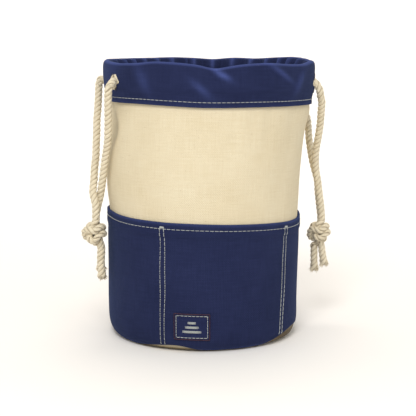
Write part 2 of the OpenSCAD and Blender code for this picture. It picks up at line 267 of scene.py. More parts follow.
def make(name, points, faces, material, body, cloth_at=None, smooth=True):
    """An object from points in mm; cloth_at gives each point's place on its flat cloth, in mm."""
    mesh = bpy.data.meshes.new(name)
    mesh.from_pydata((np.asarray(points).reshape(-1, 3) * MM).tolist(), [], [list(f) for f in faces])
    if smooth:
        mesh.shade_smooth()
    if cloth_at is not None:
        layer = mesh.attributes.new("cloth", "FLOAT_VECTOR", "POINT")
        layer.data.foreach_set("vector", np.asarray(cloth_at, np.float32).reshape(-1))
    mesh.materials.append(material)
    piece = bpy.data.objects.new(name, mesh)
    bpy.context.scene.collection.objects.link(piece)
    if body:
        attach(piece, body)
    return piece


def grid_faces(rows, columns, wrap_rows, wrap_columns):
    """Quads of a grid of rows x columns points; wrap joins the last row or column to the first."""
    i, j = np.meshgrid(np.arange(rows if wrap_rows else rows - 1),
                       np.arange(columns if wrap_columns else columns - 1), indexing="ij")
    near, far = i * columns, (i + 1) % rows * columns
    after = (j + 1) % columns
    return np.stack([near + j, far + j, far + after, near + after], -1).reshape(-1, 4)


def tube_faces(count, rings, sides):
    """Faces of tubes with closed ends, each made of rings x sides points."""
    firsts = np.arange(count) * rings * sides
    faces = (grid_faces(rings, sides, False, True) + firsts[:, None, None]).reshape(-1, 4).tolist()
    for first in firsts.tolist():
        faces.append([first + s for s in range(sides)][::-1])
        faces.append([first + (rings - 1) * sides + s for s in range(sides)])
    return faces


def resample(line, step):
    """Points at even steps along a polyline, and how far along it each lies."""
    line = np.asarray(line, float)
    along = distances(line)
    at = np.linspace(0, along[-1], max(2, int(round(along[-1] / step)) + 1))
    return np.stack([np.interp(at, along, line[:, k]) for k in range(line.shape[1])], -1), at


def curve_through(points, step):
    """A smooth curve through points (Catmull-Rom), resampled at even steps."""
    p = np.asarray(points, float)
    p = np.concatenate([[2 * p[0] - p[1]], p, [2 * p[-1] - p[-2]]])
    t = np.linspace(0, 1, 24, endpoint=False)[:, None]
    parts = []
    for k in range(1, len(p) - 2):
        a, b, c, d = p[k - 1:k + 3]
        parts.append(0.5 * (2 * b + (c - a) * t + (2 * a - 5 * b + 4 * c - d) * t ** 2
                            + (3 * b - 3 * c + d - a) * t ** 3))
    parts.append(p[-2][None])
    return resample(np.concatenate(parts), step)[0]


def section(line, thickness=CLOTH_T, step=2.0):
    """Closed outline of a strip of cloth along a line of (off, z) points, with places along the line."""
    line, at = resample(line, step)
    heading = unit(np.gradient(line, axis=0))
    normal = np.stack([heading[:, 1], -heading[:, 0]], -1) * thickness / 2
    ends = [line[0] - heading[0] * thickness * 0.2, line[-1] + heading[-1] * thickness * 0.2]
    outline = np.concatenate([line + normal, [ends[1]], (line - normal)[::-1], [ends[0]]])
    return outline, np.concatenate([at, [at[-1] + 0.3], at[::-1], [-0.3]])


def fold(centre_off, centre_z, radius, start, end, steps=8):
    """Points of an arc in (off, z), angles in degrees."""
    angles = np.radians(np.linspace(start, end, steps))
    return [(centre_off + radius * math.cos(a), centre_z + radius * math.sin(a)) for a in angles]


def swept(name, outline, material, turns=None, edge=None, painted_light_and_wear=None):
    """A strip of cloth swept round the sack. edge(turn, z) gives the change of height of the outline's
    points, and painted_light_and_wear(turn, off, z) how much painted light is laid on the cloth: painted
    shade on the natural canvas, painted highlight with some rubbed wear on the navy."""
    points, along = outline
    full = turns is None
    if full:
        turns = np.radians(SEAM_TURN) + np.linspace(0, 2 * PI, 300, endpoint=False)
    turn, index = np.meshgrid(turns, np.arange(len(points)), indexing="ij")
    off, z = points[index, 0], points[index, 1]
    if edge is not None:
        z = z + edge(turn, z)
    place = cloth(turn, off, z)
    flat = np.stack([turn * WALL_R, along[index], off], -1)
    faces = grid_faces(len(turns), len(points), full, True)
    if not full:
        count = len(points)
        last = (len(turns) - 1) * count
        faces = [*faces, list(range(count))[::-1], list(range(last, last + count))]
    piece = make(name, place, faces, material, "sack", flat)
    if painted_light_and_wear is not None:
        # painted light per point: painted shade or painted highlight, with some rubbed wear on the navy
        painted_light_and_wear_mark = np.clip(painted_light_and_wear(turn, off, z), 0, 1).astype(np.float32)
        piece.data.attributes.new("painted_light_and_wear", "FLOAT", "POINT").data.foreach_set("value", painted_light_and_wear_mark.reshape(-1))
    return piece


def tubes(paths, radii, sides):
    """Points and faces of many tubes at once, from their centre lines (tubes, rings, 3) and rings' radii."""
    paths = np.asarray(paths, float)
    count, rings = paths.shape[:2]
    heading = unit(np.gradient(paths, axis=1))
    across = np.cross(heading, [0.0, 0.0, 1.0])
    flat = np.linalg.norm(across, axis=2, keepdims=True) < 1e-3
    across = unit(np.where(flat, np.cross(heading, [1.0, 0.3, 0.0]), across))
    over = np.cross(across, heading)
    angle = np.linspace(0, 2 * PI, sides, endpoint=False)[:, None]
    ring = across[:, :, None] * np.cos(angle) + over[:, :, None] * np.sin(angle)
    points = paths[:, :, None] + ring * radii[:, None, None]
    return points.reshape(-1, 3), tube_faces(count, rings, sides)


# Materials ------------------------------------------------------------------

class Nodes:
    """Short names for adding shader nodes."""

    def __init__(self, name):
        self.material = bpy.data.materials.new(name)
        self.material.use_nodes = True
        self.tree = self.material.node_tree
        self.shader = self.tree.nodes["Principled BSDF"]

    def add(self, kind, **values):
        node = self.tree.nodes.new(kind)
        for key, value in values.items():
            if key[0].isupper() or key.startswith("i_"):
                socket = int(key[2:]) if key.startswith("i_") else key.replace("_", " ")
                node.inputs[socket].default_value = value
            else:
                setattr(node, key, value)
        return node

    def link(self, source, target):
        self.tree.links.new(source, target)
        return target.node

    def math(self, operation, a, b=None):
        node = self.add("ShaderNodeMath", operation=operation)
        for k, value in enumerate((a, b)):
            if value is None:
                continue
            if isinstance(value, (int, float)):
                node.inputs[k].default_value = value
            else:
                self.link(value, node.inputs[k])
        return node.outputs[0]

    def plus(self, a, b):
        return self.math("ADD", a, b)

    def times(self, a, b):
        return self.math("MULTIPLY", a, b)

    def noise(self, vector, scale, detail=3.0, roughness=0.5):
        node = self.add("ShaderNodeTexNoise", Scale=scale, Detail=detail, Roughness=roughness)
        self.link(vector, node.inputs["Vector"])
        return node.outputs["Fac"]

    def scaled(self, vector, x, y, z):
        node = self.add("ShaderNodeVectorMath", operation="MULTIPLY", i_1=(x, y, z))
        self.link(vector, node.inputs[0])
        return node.outputs[0]

    def ramp(self, factor, stops):
        node = self.add("ShaderNodeValToRGB")
        elements = node.color_ramp.elements
        while len(elements) < len(stops):
            elements.new(0.5)
        for element, (position, colour) in zip(elements, stops):
            element.position = position
            element.color = (*colour, 1)
        self.link(factor, node.inputs["Fac"])
        return node.outputs["Color"]

    def mix(self, factor, a, b, blend="MIX"):
        node = self.add("ShaderNodeMix", data_type="RGBA", blend_type=blend)
        for socket, value in ((node.inputs[0], factor), (node.inputs[6], a), (node.inputs[7], b)):
            if isinstance(value, (int, float)):
                socket.default_value = value
            elif isinstance(value, tuple):
                socket.default_value = (*value, 1)
            else:
                self.link(value, socket)
        return node.outputs[2]

    def bump(self, height, distance, strength=1.0):
        node = self.add("ShaderNodeBump", Distance=distance, Strength=strength)
        self.link(height, node.inputs["Height"])
        self.link(node.outputs["Normal"], self.shader.inputs["Normal"])

    def surface(self, colour, **values):
        """Give the shader its colour and its other values; returns the finished material."""
        self.link(colour, self.shader.inputs["Base Color"])
        for key, value in values.items():
            self.shader.inputs[key.replace("_", " ")].default_value = value
        return self.material


def canvas(name, colour, dark, light, painted_light_and_wear_mark, pitch=0.95, flecks=None, sheen=0.25, sheen_tint=(1, 1, 1)):
    """Plain-woven duck: thread crossings, uneven yarns, slow colour changes, and cotton-seed flecks; the last
    colour is mixed in as painted light where the mesh asks for it.
    """
    n = Nodes(name)
    place = n.add("ShaderNodeAttribute", attribute_name="cloth").outputs["Vector"]
    split = n.add("ShaderNodeSeparateXYZ")
    n.link(place, split.inputs[0])
    waver = n.times(n.noise(n.scaled(place, 0.05, 0.05, 0), 1.0, 2), 1.6)
    across = n.math("SINE", n.times(n.plus(split.outputs[0], waver), PI / pitch))
    along = n.math("SINE", n.times(n.plus(split.outputs[1], waver), PI / (pitch * 1.15)))
    weave = n.plus(n.times(n.times(across, along), 0.5), 0.5)
    warp = n.noise(n.scaled(place, 1.1, 0.045, 0), 1.0, 2)
    weft = n.noise(n.scaled(place, 0.045, 1.1, 0), 1.0, 2)
    yarns = n.plus(warp, weft)
    height = n.plus(n.times(weave, 0.55), n.times(yarns, 0.6))
    n.bump(height, 0.00032, 0.9)
    slow = n.noise(n.scaled(place, 0.022, 0.022, 0.5), 1.0, 3)
    tone = n.plus(n.times(yarns, 0.34), n.times(slow, 0.33))
    tone = n.plus(tone, n.times(weave, 0.12))
    shade = n.ramp(tone, [(0.28, dark), (0.52, colour), (0.78, light)])
    if flecks:
        speck = n.noise(n.scaled(place, 0.55, 0.8, 0), 1.0, 1.0)
        shade = n.mix(n.ramp(speck, [(0.73, (0, 0, 0)), (0.80, (0.65, 0.65, 0.65))]), shade, flecks)
    # painted light: the last colour is laid where the mesh asks (painted shade on the natural canvas, painted
    # highlight with some rubbed wear on the navy)
    painted_light_and_wear = n.add("ShaderNodeAttribute", attribute_name="painted_light_and_wear").outputs["Fac"]
    patchy = n.times(painted_light_and_wear, n.plus(n.times(yarns, 0.5), 0.5))
    return n.surface(n.mix(patchy, shade, painted_light_and_wear_mark), Roughness=0.92, Specular_IOR_Level=0.12, Sheen_Weight=sheen,
                     Sheen_Roughness=0.45, Sheen_Tint=(*sheen_tint, 1))


def yarn(name, colour, dark, light, fibre=1.0, roughness=0.85):
    """Spun cotton: fibres that run along the thread or strand, slow colour changes, and painted shade in the
    grooves between a rope's strands.
    """
    n = Nodes(name)
    place = n.add("ShaderNodeAttribute", attribute_name="cloth").outputs["Vector"]
    fibres = n.noise(n.scaled(place, 0.25 * fibre, 2.2 * fibre, 1), 1.0, 4, 0.6)
    slow = n.noise(n.scaled(place, 0.07, 0.2, 1), 1.0, 2)
    n.bump(fibres, 0.00025, 0.9)
    tone = n.plus(n.times(fibres, 0.6), n.times(slow, 0.4))
    shade = n.ramp(tone, [(0.3, dark), (0.5, colour), (0.72, light)])
    split = n.add("ShaderNodeSeparateXYZ")
    n.link(place, split.inputs[0])
    # painted shade in the rope's grooves: the inner side of each strand is darkened; stitches and cut fibres
    # carry 1 here and stay unshaded
    painted_groove_shade = n.ramp(split.outputs[2], [(0.42, (0.40, 0.34, 0.27)), (0.86, (1, 1, 1))])
    return n.surface(n.mix(1.0, shade, painted_groove_shade, "MULTIPLY"), Roughness=roughness, Specular_IOR_Level=0.2,
                     Sheen_Weight=0.2)


# The natural canvas's last colour, a dark brown, is painted shade, laid low on the body panel and in the
# crease's hollow.
NATURAL = canvas("natural_canvas", (0.65, 0.565, 0.395), (0.57, 0.485, 0.315), (0.71, 0.64, 0.475),
                 (0.11, 0.082, 0.05), flecks=(0.35, 0.25, 0.13), sheen=0.05)
# The base is the same natural canvas painted dark brown: painted shade, as it curls under the sack into
# shadow.
SHADED_BASE = canvas("shaded_base_canvas", (0.24, 0.19, 0.115), (0.18, 0.14, 0.08), (0.32, 0.26, 0.16), (0.2, 0.16, 0.1),
              flecks=(0.15, 0.11, 0.06), sheen=0.0)
# The navy's last colour, a brighter blue, is painted highlight with some rubbed wear, laid on the casing's
# folds, ridges and inner pleats and along the band's edges.
NAVY = canvas("navy_canvas", (0.0128, 0.0178, 0.057), (0.009, 0.0125, 0.041), (0.021, 0.028, 0.083),
              (0.075, 0.105, 0.32), sheen=0.07, sheen_tint=(0.2, 0.42, 1.0))
ROPE = yarn("cotton_rope", (0.71, 0.63, 0.47), (0.55, 0.475, 0.33), (0.8, 0.74, 0.58))
THREAD = yarn("pale_thread", (0.42, 0.44, 0.43), (0.31, 0.33, 0.33), (0.54, 0.56, 0.53), fibre=2.0,
              roughness=0.6)
NAVY_THREAD = yarn("navy_thread", (0.02, 0.027, 0.08), (0.012, 0.016, 0.05), (0.035, 0.045, 0.12), fibre=2.0)
LABEL = canvas("label_cloth", (0.014, 0.019, 0.062), (0.01, 0.013, 0.045), (0.022, 0.03, 0.09),
               (0.05, 0.06, 0.15), pitch=0.4, sheen=0.08, sheen_tint=(0.5, 0.55, 1.0))
LABEL_EDGE = yarn("label_edge", (0.05, 0.014, 0.022), (0.03, 0.008, 0.014), (0.08, 0.022, 0.03), fibre=2.0)


# Stitches -------------------------------------------------------------------

def stitch_row(path, pitch, length, proud=0.32):
    """Separate stitches along a line of (turn, off, z) points; returns the stitches' centre lines in mm."""
    path = np.asarray(path, float)
    place = cloth(path[:, 0], path[:, 1], path[:, 2])
    along = distances(place)
    count = max(1, int(along[-1] // pitch))
    starts = (np.arange(count) + 0.5) * along[-1] / count - length / 2
    t = np.linspace(0, 1, 6)
    at = starts[:, None] + t * length
    row = np.stack([np.interp(at, along, path[:, k]) for k in range(3)], -1)
    arch = proud * np.sin(PI * t) ** 0.6 - 0.35 * (np.abs(2 * t - 1) ** 6)
    return cloth(row[..., 0], row[..., 1] + arch, row[..., 2])


def stitch_mesh(name, rows, material, radius=0.42):
    """One mesh of all the stitches in some rows, with each point's place on its thread."""
    paths = np.concatenate(rows)
    rings, sides = 6, 7
    points, faces = tubes(paths, radius * np.array([0.6, 0.95, 1.0, 1.0, 0.95, 0.6]), sides)
    along, around = np.meshgrid(np.linspace(0, 4, rings), np.linspace(0, 2.6, sides), indexing="ij")
    along = along + np.arange(len(paths))[:, None, None] * 5.3
    at = np.stack([along, np.broadcast_to(around, along.shape), np.ones(along.shape)], -1).reshape(-1, 3)
    return make(name, points, faces, material, "sack", at)


def ring_line(z, off, start=0.0, end=2 * PI, steps=721):
    turns = math.radians(SEAM_TURN) + np.linspace(start, end, steps)
    return np.stack([turns, np.full(steps, off), np.full(steps, z)], -1)


# The sack's cloth -----------------------------------------------------------

BAND_OUT = GAP + CLOTH_T
HEM_OUT = 2 * (GAP + CLOTH_T)
HEM_LOW = BAND_Z - 11.5


def band_lower_edge(turn, z):
    """The band's raw lower edge is cut unevenly, so that the natural canvas shows below it in two places."""
    return round_table(turn, BAND_FOOT) * (1 - ease(z, 1, 26))


def body_painted_shade(turn, off, z):
    """Painted shade: darker near the floor, most on the right where the cloth curls under into shadow, and a
    little in the crease's hollow.
    """
    edge = np.degrees(turn) % 360 - crease_turn(z)
    low = (1 - ease(z, 9, 15)) * (0.45 + 0.55 * ease(np.cos(turn - math.radians(320)), 0.2, 0.8))
    return low + 0.25 * bump(z, 203, 19) * ease(-edge, 0, 2.5) * (1 - ease(-edge, 6, 15))


def body_panel():
    line = [(-CLOTH_T / 2, 3.2), (-CLOTH_T / 2, CASING_Z + 8)]
    return swept("body_panel_cloth", section(line, step=2.4), NATURAL, painted_light_and_wear=body_painted_shade)


def base():
    """The round base: flat cloth that rolls up round its edge, with the seam's ridge inside."""
    line = [(0, 0.7), (20, 0.65), (45, 0.6), (70, 0.6), (78, 0.62), (81, 0.75), (83.2, 1.2), (84.8, 2.2),
            (86.2, 3.8), (87.6, 6.0), (88.9, 9.0), (89.6, 12)]
    line = resample(curve_through(line, 1.0), 1.6)[0]
    heading = unit(np.gradient(line, axis=0))
    normal = np.stack([heading[:, 1], -heading[:, 0]], -1) * 0.55
    outline = np.concatenate([line[1:] + normal[1:], (line - normal)[:0:-1]])
    turns = np.linspace(0, 2 * PI, 240, endpoint=False)
    turn, index = np.meshgrid(turns, np.arange(len(outline)), indexing="ij")
    r, z = outline[index, 0], outline[index, 1]
    r = r + 2.8 * facing(turn, 311, 15) * ease(r, 66, 82)
    z = z + 0.5 * ease(r, 20, 60) * (1 - ease(r, 76, 82)) * (1 + 0.6 * undulate(turn, r, 12, (2, 3, 5), 40))
    z = np.maximum(z, 0.05)
    place = np.stack([r * np.cos(turn), r * np.sin(turn), z], -1) + [*(lean(0) * SIDEWAYS), 0]
    faces = grid_faces(len(turns), len(outline), True, False).tolist()
    count = len(outline)
    faces.append([k * count for k in range(len(turns))][::-1])
    faces.append([k * count + count - 1 for k in range(len(turns))])
    flat = np.stack([r * np.cos(turn), r * np.sin(turn), 0 * r], -1)
    # the base uses the dark brown painted-shade copy of the natural canvas
    return make("base_cloth", place, faces, SHADED_BASE, "sack", flat)


def base_binding():
    line = [(-3.2, 8.2), (-2.5, 9.0), (-2.3, 12.5), (-2.6, 15.6), (-3.3, 16.4), (-4.0, 15.6), (-4.3, 12.5),
            (-4.1, 9.0), (-3.6, 8.2)]
    return swept("base_binding_tape", section(line, 0.5, 1.2), NATURAL)


def pocket_band():
    """Outer layer, rolled over at the top into its turned-in hem."""
    outer = GAP + CLOTH_T / 2
    step_out = HEM_OUT - CLOTH_T / 2
    middle = (outer + step_out) / 2
    radius = (step_out - outer) / 2
    line = [(outer - 0.2, 1.0), (outer, 6), (outer, HEM_LOW - 6), (outer + 0.25, HEM_LOW - 3.5),
            (step_out - 0.2, HEM_LOW - 0.8), (step_out, HEM_LOW + 1.5), (step_out, BAND_Z - 1.6)]
    line += fold(middle, BAND_Z - 1.4, radius, 0, 180)[1:]
    line += [(outer, HEM_LOW + 0.5)]
    # The band is paler along its folded top edge, as painted highlight with some rubbed wear, and along its
    # lower edge.
    return swept("pocket_band_cloth", section(line, step=1.7), NAVY, edge=band_lower_edge,
                 painted_light_and_wear=lambda turn, off, z: 0.35 * bump(z, BAND_Z, 1.0) + 0.25 * bump(z, 1, 1.5))


def casing_painted_highlights_and_wear(turn, off, z):
    """Painted highlights, with some rubbed wear at the folds: the navy is paler along the rim's fold and the
    hem's fold, at the left edge, on the ridges where they catch the light, and on the crests of the pleats
    inside the back where they bulge towards the light.
    """
    painted_light_and_wear = 0.5 * bump(z, RIM_Z - 0.5, 0.7) + 0.2 * bump(z, CASING_Z, 1.0) + 0.12 * facing(turn, 190, 7)
    for height, away in casing_ridges(turn, z):
        painted_light_and_wear = painted_light_and_wear + 0.2 * height * np.exp(-away ** 2)
    # painted highlight on the crests of the inner pleats; their hollows stay dark
    back, wave = pleats(turn)
    inside = 0.45 * back * np.clip(-wave, 0, 1) * ease(z, CASING_Z + 12, RIM_Z - 6)
    return np.where(off > 0, painted_light_and_wear, inside)


def casing():
    """A flattened tube of cloth over the mouth: outer hem turned under, outer wall, rim and inner wall."""
    outer, turned = GAP + CLOTH_T * 1.5 + GAP, GAP + CLOTH_T / 2
    wide = CASING_HALF - CLOTH_T / 2
    top = RIM_Z - CLOTH_T / 2
    line = [(turned, CASING_Z + 7.5), (turned, CASING_Z + 1.4)]
    line += fold((outer + turned) / 2, CASING_Z + 1.3, (outer - turned) / 2, 180, 360)[1:]
    line += [(outer, CASING_Z + 6.5), (outer + 0.5, CASING_Z + 9), (wide - 0.5, CHANNEL_Z + 4),
             (wide, CHANNEL_Z + 9), (wide, top - 9), (wide - 0.1, top - 4), (wide - 0.6, top - 1.6)]
    line += [(wide - 1.7, top - 0.35), (wide - 3.3, top), (wide - 5.2, top - 0.8), (-wide + 2.6, top - 3.4),
             (-wide + 0.7, top - 7.5), (-wide, top - 13), (-wide, CHANNEL_Z + 5),
             (-outer - 0.9, CASING_Z + 8), (-outer - 0.3, CASING_Z + 1.5)]
    rounded = curve_through(line[10:], 1.2)
    outline = section(np.concatenate([line[:10], rounded]), step=1.6)
    piece = swept("casing_cloth", outline, NAVY, painted_light_and_wear=casing_painted_highlights_and_wear)
    cut_buttonholes(piece)
    return piece


HOLES = {name: (math.radians(degrees), (LEFT_LANE_Z if "left" in name else RIGHT_LANE_Z) + shift)
         for name, (degrees, shift, _) in BUTTONHOLES.items()}
SLIT_W, SLIT_H = 6.0, 15.0


def casing_face(z):
    """How far the casing's outer face stands out at a height."""
    heights = [CASING_Z + 6.5, CASING_Z + 9, CASING_Z + 15, CASING_Z + 20]
    return np.interp(z, heights, [2.7, 3.2, 4.8, CASING_HALF])


def slit_outline(name, count, grow=0.0):
    """(turn, z) round a buttonhole, a slit that the rope has bowed open."""
    turn, z = HOLES[name]
    front = 1 if math.sin(turn) < 0 else -1
    around = np.linspace(0, 2 * PI, count, endpoint=False)
    up = (SLIT_H / 2 + grow) * np.sin(around)
    across = (SLIT_W / 2 + grow) * np.cos(around) * np.abs(np.cos(around)) ** 0.25
    across = across - 0.16 * up
    speed = math.hypot(CASING_A * math.sin(turn), CASING_B * math.cos(turn))
    return turn + front * across / speed, z + up


def cut_buttonholes(piece):
    count = 32
    points, faces = [], []
    for name in HOLES:
        turn, z = slit_outline(name, count)
        first = len(points)
        points += list(cloth(turn, CASING_HALF - 3, z)) + list(cloth(turn, CASING_HALF + 3, z))
        inside, outside = [first + k for k in range(count)], [first + count + k for k in range(count)]
        faces += [inside[::-1], outside]
        faces += [[inside[k - 1], inside[k], outside[k], outside[k - 1]] for k in range(count)]
        if math.sin(HOLES[name][0]) > 0:
            faces[-count - 2:] = [face[::-1] for face in faces[-count - 2:]]
    cutter = make("buttonhole_cutter", points, faces, NAVY, None, smooth=False)
    modifier = piece.modifiers.new("buttonholes", "BOOLEAN")
    modifier.object = cutter
    modifier.operation = "DIFFERENCE"
    modifier.solver = "EXACT"
    apply_modifiers(piece)
    bpy.data.objects.remove(cutter)


def apply_modifiers(piece):
    bpy.context.view_layer.update()
    evaluated = piece.evaluated_get(bpy.context.evaluated_depsgraph_get())
    mesh = bpy.data.meshes.new_from_object(evaluated)
    piece.modifiers.clear()
    old = piece.data
    piece.data = mesh
    bpy.data.meshes.remove(old)


def lap_seam(name, low_z, high_z, off, material, node):
    """A lap down the back, 10 mm wide, with two rows of stitches."""
    turns = np.radians(SEAM_TURN + np.linspace(-3.2, 3.2, 9))
    line = [(off + CLOTH_T / 2, low_z), (off + CLOTH_T / 2, high_z)]
    piece = swept(name, section(line, step=2.5), material, turns=turns)
    rows = []
    for side in (-1, 1):
        turn = np.radians(SEAM_TURN + side * 2.2)
        heights = np.linspace(low_z + 1, high_z - 1, 60)
        line = np.stack([np.full(60, turn), np.full(60, off + CLOTH_T), heights], -1)
        rows.append(stitch_row(line, 4.4, 3.4))
    stitch_mesh(name + "_stitches", rows, THREAD)
    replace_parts(piece, node)


# Each divider's angle at its foot and at its top
DIVIDERS = {"front_left": (228.2, 229.3), "front_right": (303.6, 307.6), "back_left": (129.8, 128.8),
            "back_right": (48.6, 49.4)}


def dividers():
    """Two needle rows from the base to the hem with a bar tack, at the four pocket edges."""
    top = BAND_STITCH_Z + 1.2
    heights = np.concatenate([[4], np.linspace(6, top, 120)])
    off = BAND_OUT + (HEM_OUT - BAND_OUT) * ease(heights, HEM_LOW - 4, HEM_LOW)
    for name, (foot_turn, top_turn) in DIVIDERS.items():
        rows = []
        apart = math.degrees(2.2 / WALL_R)
        middle = foot_turn + (top_turn - foot_turn) * (1 - np.exp(-(heights - 4) / 32))
        foot = float(round_table(np.radians(foot_turn), BAND_FOOT)) + 1.5
        for side in (-1, 1):
            wander = 0.16 * np.sin(heights / 17 + side + foot_turn) + 0.1 * np.sin(heights / 7)
            line = np.stack([np.radians(middle + side * apart + wander), off, heights], -1)
            rows.append(stitch_row(line[heights > foot], 4.3, 4.25))
        for k in range(3):
            half = apart + 0.25 - 0.22 * k
            ends = np.radians([top_turn - half, top_turn, top_turn + half])
            rows.append(stitch_row(np.stack([ends, [HEM_OUT] * 3, [top - 0.2 + 0.5 * k] * 3], -1), 6.0, 5.9))
        piece = stitch_mesh("divider_stitches_" + name, rows, THREAD, radius=0.31)
        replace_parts(piece, "divider_thread_" + name)


def hem_stitches():
    for name, z, node in (("casing_hem_stitches", HEM_STITCH_Z, "casing_hem_thread"),
                          ("band_hem_stitches", BAND_STITCH_Z, "pocket_hem_thread")):
        rows = [stitch_row(ring_line(z, HEM_OUT), 4.4, 4.2)]
        piece = stitch_mesh(name, rows, THREAD, radius=0.27)
        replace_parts(piece, node)


def buttonhole_stitches():
    count = 46
    share = np.linspace(0, 1, 6)[:, None]
    lift = np.array([-0.8, 0.05, 0.3, 0.32, 0.25, -0.1])[:, None]
    for name in HOLES:
        inner, outer = slit_outline(name, count), slit_outline(name, count, 1.4)
        turn = inner[0] + (outer[0] - inner[0]) * share
        z = inner[1] + (outer[1] - inner[1]) * share
        paths = cloth(turn, casing_face(z) + lift, z).transpose(1, 0, 2)
        piece = stitch_mesh(f"buttonhole_{name}_stitches", [paths], NAVY_THREAD, radius=0.4)
        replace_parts(piece, "buttonhole_" + name)


def label():
    """A woven label with a turned edge, a row of stitches round it and three plain bars."""
    half = LABEL_W / 2 / (WALL_R + BAND_OUT)
    count_u, count_v = 35, 27
    u, v = np.meshgrid(np.linspace(-1, 1, count_u), np.linspace(-1, 1, count_v), indexing="ij")
    edge = np.maximum(np.abs(u), np.abs(v))
    rim = ease(edge, 0.86, 0.9) * 0.25 - ease(edge, 0.97, 1.0) * 0.45
    turn = math.radians(LABEL_TURN) + u * half
    z = LABEL_Z + v * LABEL_H / 2 - 0.25 * u
    top = cloth(turn, BAND_OUT + 0.65 + rim, z)
    under = cloth(turn, BAND_OUT + 0.05 + 0 * rim, z)
    points = np.concatenate([top.reshape(-1, 3), under.reshape(-1, 3)])
    one = grid_faces(count_u, count_v, False, False)
    total = count_u * count_v
    grid = np.arange(total).reshape(count_u, count_v)
    border = np.concatenate([grid[:, 0], grid[-1, 1:], grid[-2::-1, -1], grid[0, -2:0:-1]]).tolist()
    faces = one.tolist() + [f[::-1] for f in (one + total).tolist()]
    faces += [[b, a, a + total, b + total] for a, b in zip(border, border[1:] + border[:1])]
    flat = np.stack([u * LABEL_W / 2, v * LABEL_H / 2, 0 * u], -1).reshape(-1, 3)
    flat = np.tile(flat, (2, 1))
    patch = make("label_patch_cloth", points, faces, LABEL, "sack", flat)
    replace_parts(patch, "label_patch")
    off = BAND_OUT + 0.9

    def line(u0, v0, u1, v1, count=24):
        t = np.linspace(0, 1, count)
        uu, vv = u0 + (u1 - u0) * t, v0 + (v1 - v0) * t
        return np.stack([math.radians(LABEL_TURN) + uu / (WALL_R + BAND_OUT), np.full(count, off),
                         LABEL_Z + vv - 0.25 * uu / (LABEL_W / 2)], -1)

    def all_round(inset_u, inset_v, pitch, length):
        w, h = LABEL_W / 2 - inset_u, LABEL_H / 2 - inset_v
        corners = [(-w, -h), (w, -h), (w, h), (-w, h)]
        sides = zip(corners, corners[1:] + corners[:1])
        return [stitch_row(line(*start, *end), pitch, length) for start, end in sides]

    rows = all_round(2.3, 2.2, 3.3, 3.0)
    w, h = LABEL_W / 2 - 2.3, LABEL_H / 2 - 2.2
    rows.append(stitch_row(line(w - 1.6, h + 0.2, w + 0.5, h - 0.6), 2.4, 2.3))
    bars = []
    for k, width in enumerate((4.0, 6.5, 9.0)):
        for strand in range(4):
            height = 4.6 - 4.2 * k - 0.55 * strand
            bar = line(-width, height, width, height)
            bars.append(stitch_row(bar, 2 * width, 2 * width - 0.2, proud=0.12))
    overcast = all_round(0.4, 0.4, 1.5, 1.45)
    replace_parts(stitch_mesh("label_border_stitches", rows, THREAD, radius=0.3), "label_thread")
    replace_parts(stitch_mesh("label_bars", bars, THREAD, radius=0.24), "label_motif")
    stitch_mesh("label_edge_stitches", overcast, LABEL_EDGE, radius=0.4)


def sack():
    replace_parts(body_panel(), "body_panel")
    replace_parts(base(), "base_disc")
    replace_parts(base_binding(), "base_binding")
    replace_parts(pocket_band(), "pocket_band", "pocket_hem")
    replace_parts(casing(), "casing")
    lap_seam("body_lap", BAND_Z + 0.5, CASING_Z + 1, GAP / 2, NATURAL, "body_seam")
    lap_seam("band_lap", 8, HEM_LOW - 5, BAND_OUT + GAP / 2, NAVY, "band_seam")
    lap_seam("casing_lap", CHANNEL_Z + 1, RIM_Z - 8, CASING_HALF + GAP / 2, NAVY,
             "casing_seam")
    dividers()
    hem_stitches()
    buttonhole_stitches()
    label()


# Ropes ----------------------------------------------------------------------

def carried_frames(path):
    """Two normals carried along a path without twisting."""
    tangent = unit(np.gradient(path, axis=0))
    normals = [unit(np.cross(tangent[0], [0.31, 0.22, 0.93]))]
    for k in range(1, len(path)):
        normals.append(unit(normals[-1] - tangent[k] * np.dot(normals[-1], tangent[k])))
    normals = np.array(normals)
    return normals, np.cross(tangent, normals)


STRAND_R, STRAND_OUT = 0.475 * ROPE_R, 0.525 * ROPE_R     # a strand's size and its place in the rope


def laid(path, girth, fan, spread, upright, sides=14):
    """Rings of the three strands laid round a path, (3, rings, sides, 3), and each point's place on its yarn.
    girth scales the strands, fan their distance from the rope's middle, and spread pulls them apart, in mm.
    At the ring upright, two strands lie one above the other."""
    along = distances(path)
    normal, binormal = carried_frames(path)
    phase = math.atan2(binormal[upright, 2], normal[upright, 2]) + PI / 2 - 2 * PI * along[upright] / LAY
    rings, places = [], []
    for strand in range(3):
        turn = 2 * PI * along / LAY + phase + strand * 2 * PI / 3
        out = normal * np.cos(turn)[:, None] + binormal * np.sin(turn)[:, None]
        centre = path + out * (STRAND_OUT * fan)[:, None]
        pull = np.linalg.norm(spread, axis=1, keepdims=True) + 1e-9
        centre = centre + spread * (out * spread).sum(1, keepdims=True) / pull
        heading = unit(np.gradient(centre, axis=0))
        over = unit(out - heading * (out * heading).sum(1, keepdims=True))
        side = np.cross(heading, over)
        angle = np.linspace(0, 2 * PI, sides, endpoint=False)
        yarns = 1 + 0.05 * np.cos(5 * (angle[None] - 2 * PI * along[:, None] / (LAY * 0.62)) + strand)
        shape = (STRAND_R * girth)[:, None] * yarns
        rings.append(centre[:, None] + over[:, None] * (np.cos(angle) * shape)[..., None]
                     + side[:, None] * (np.sin(angle) * shape * 1.12)[..., None])
        # how far each point faces out of its strand; the rope material darkens low values as painted shade in
        # the grooves
        outward = 0.5 + 0.5 * np.cos(angle)[None] + 0 * along[:, None]
        place = np.broadcast_arrays(along[:, None] + 41.0 * strand, angle * 1.8, outward)
        places.append(np.stack(place, -1))
    return np.array(rings), np.array(places)


def rope_piece(name, rings, places, body):
    """A length of rope from its strands' rings."""
    faces = tube_faces(*rings.shape[:3])
    return make(name, rings.reshape(-1, 3), faces, ROPE, body, places.reshape(-1, 3))
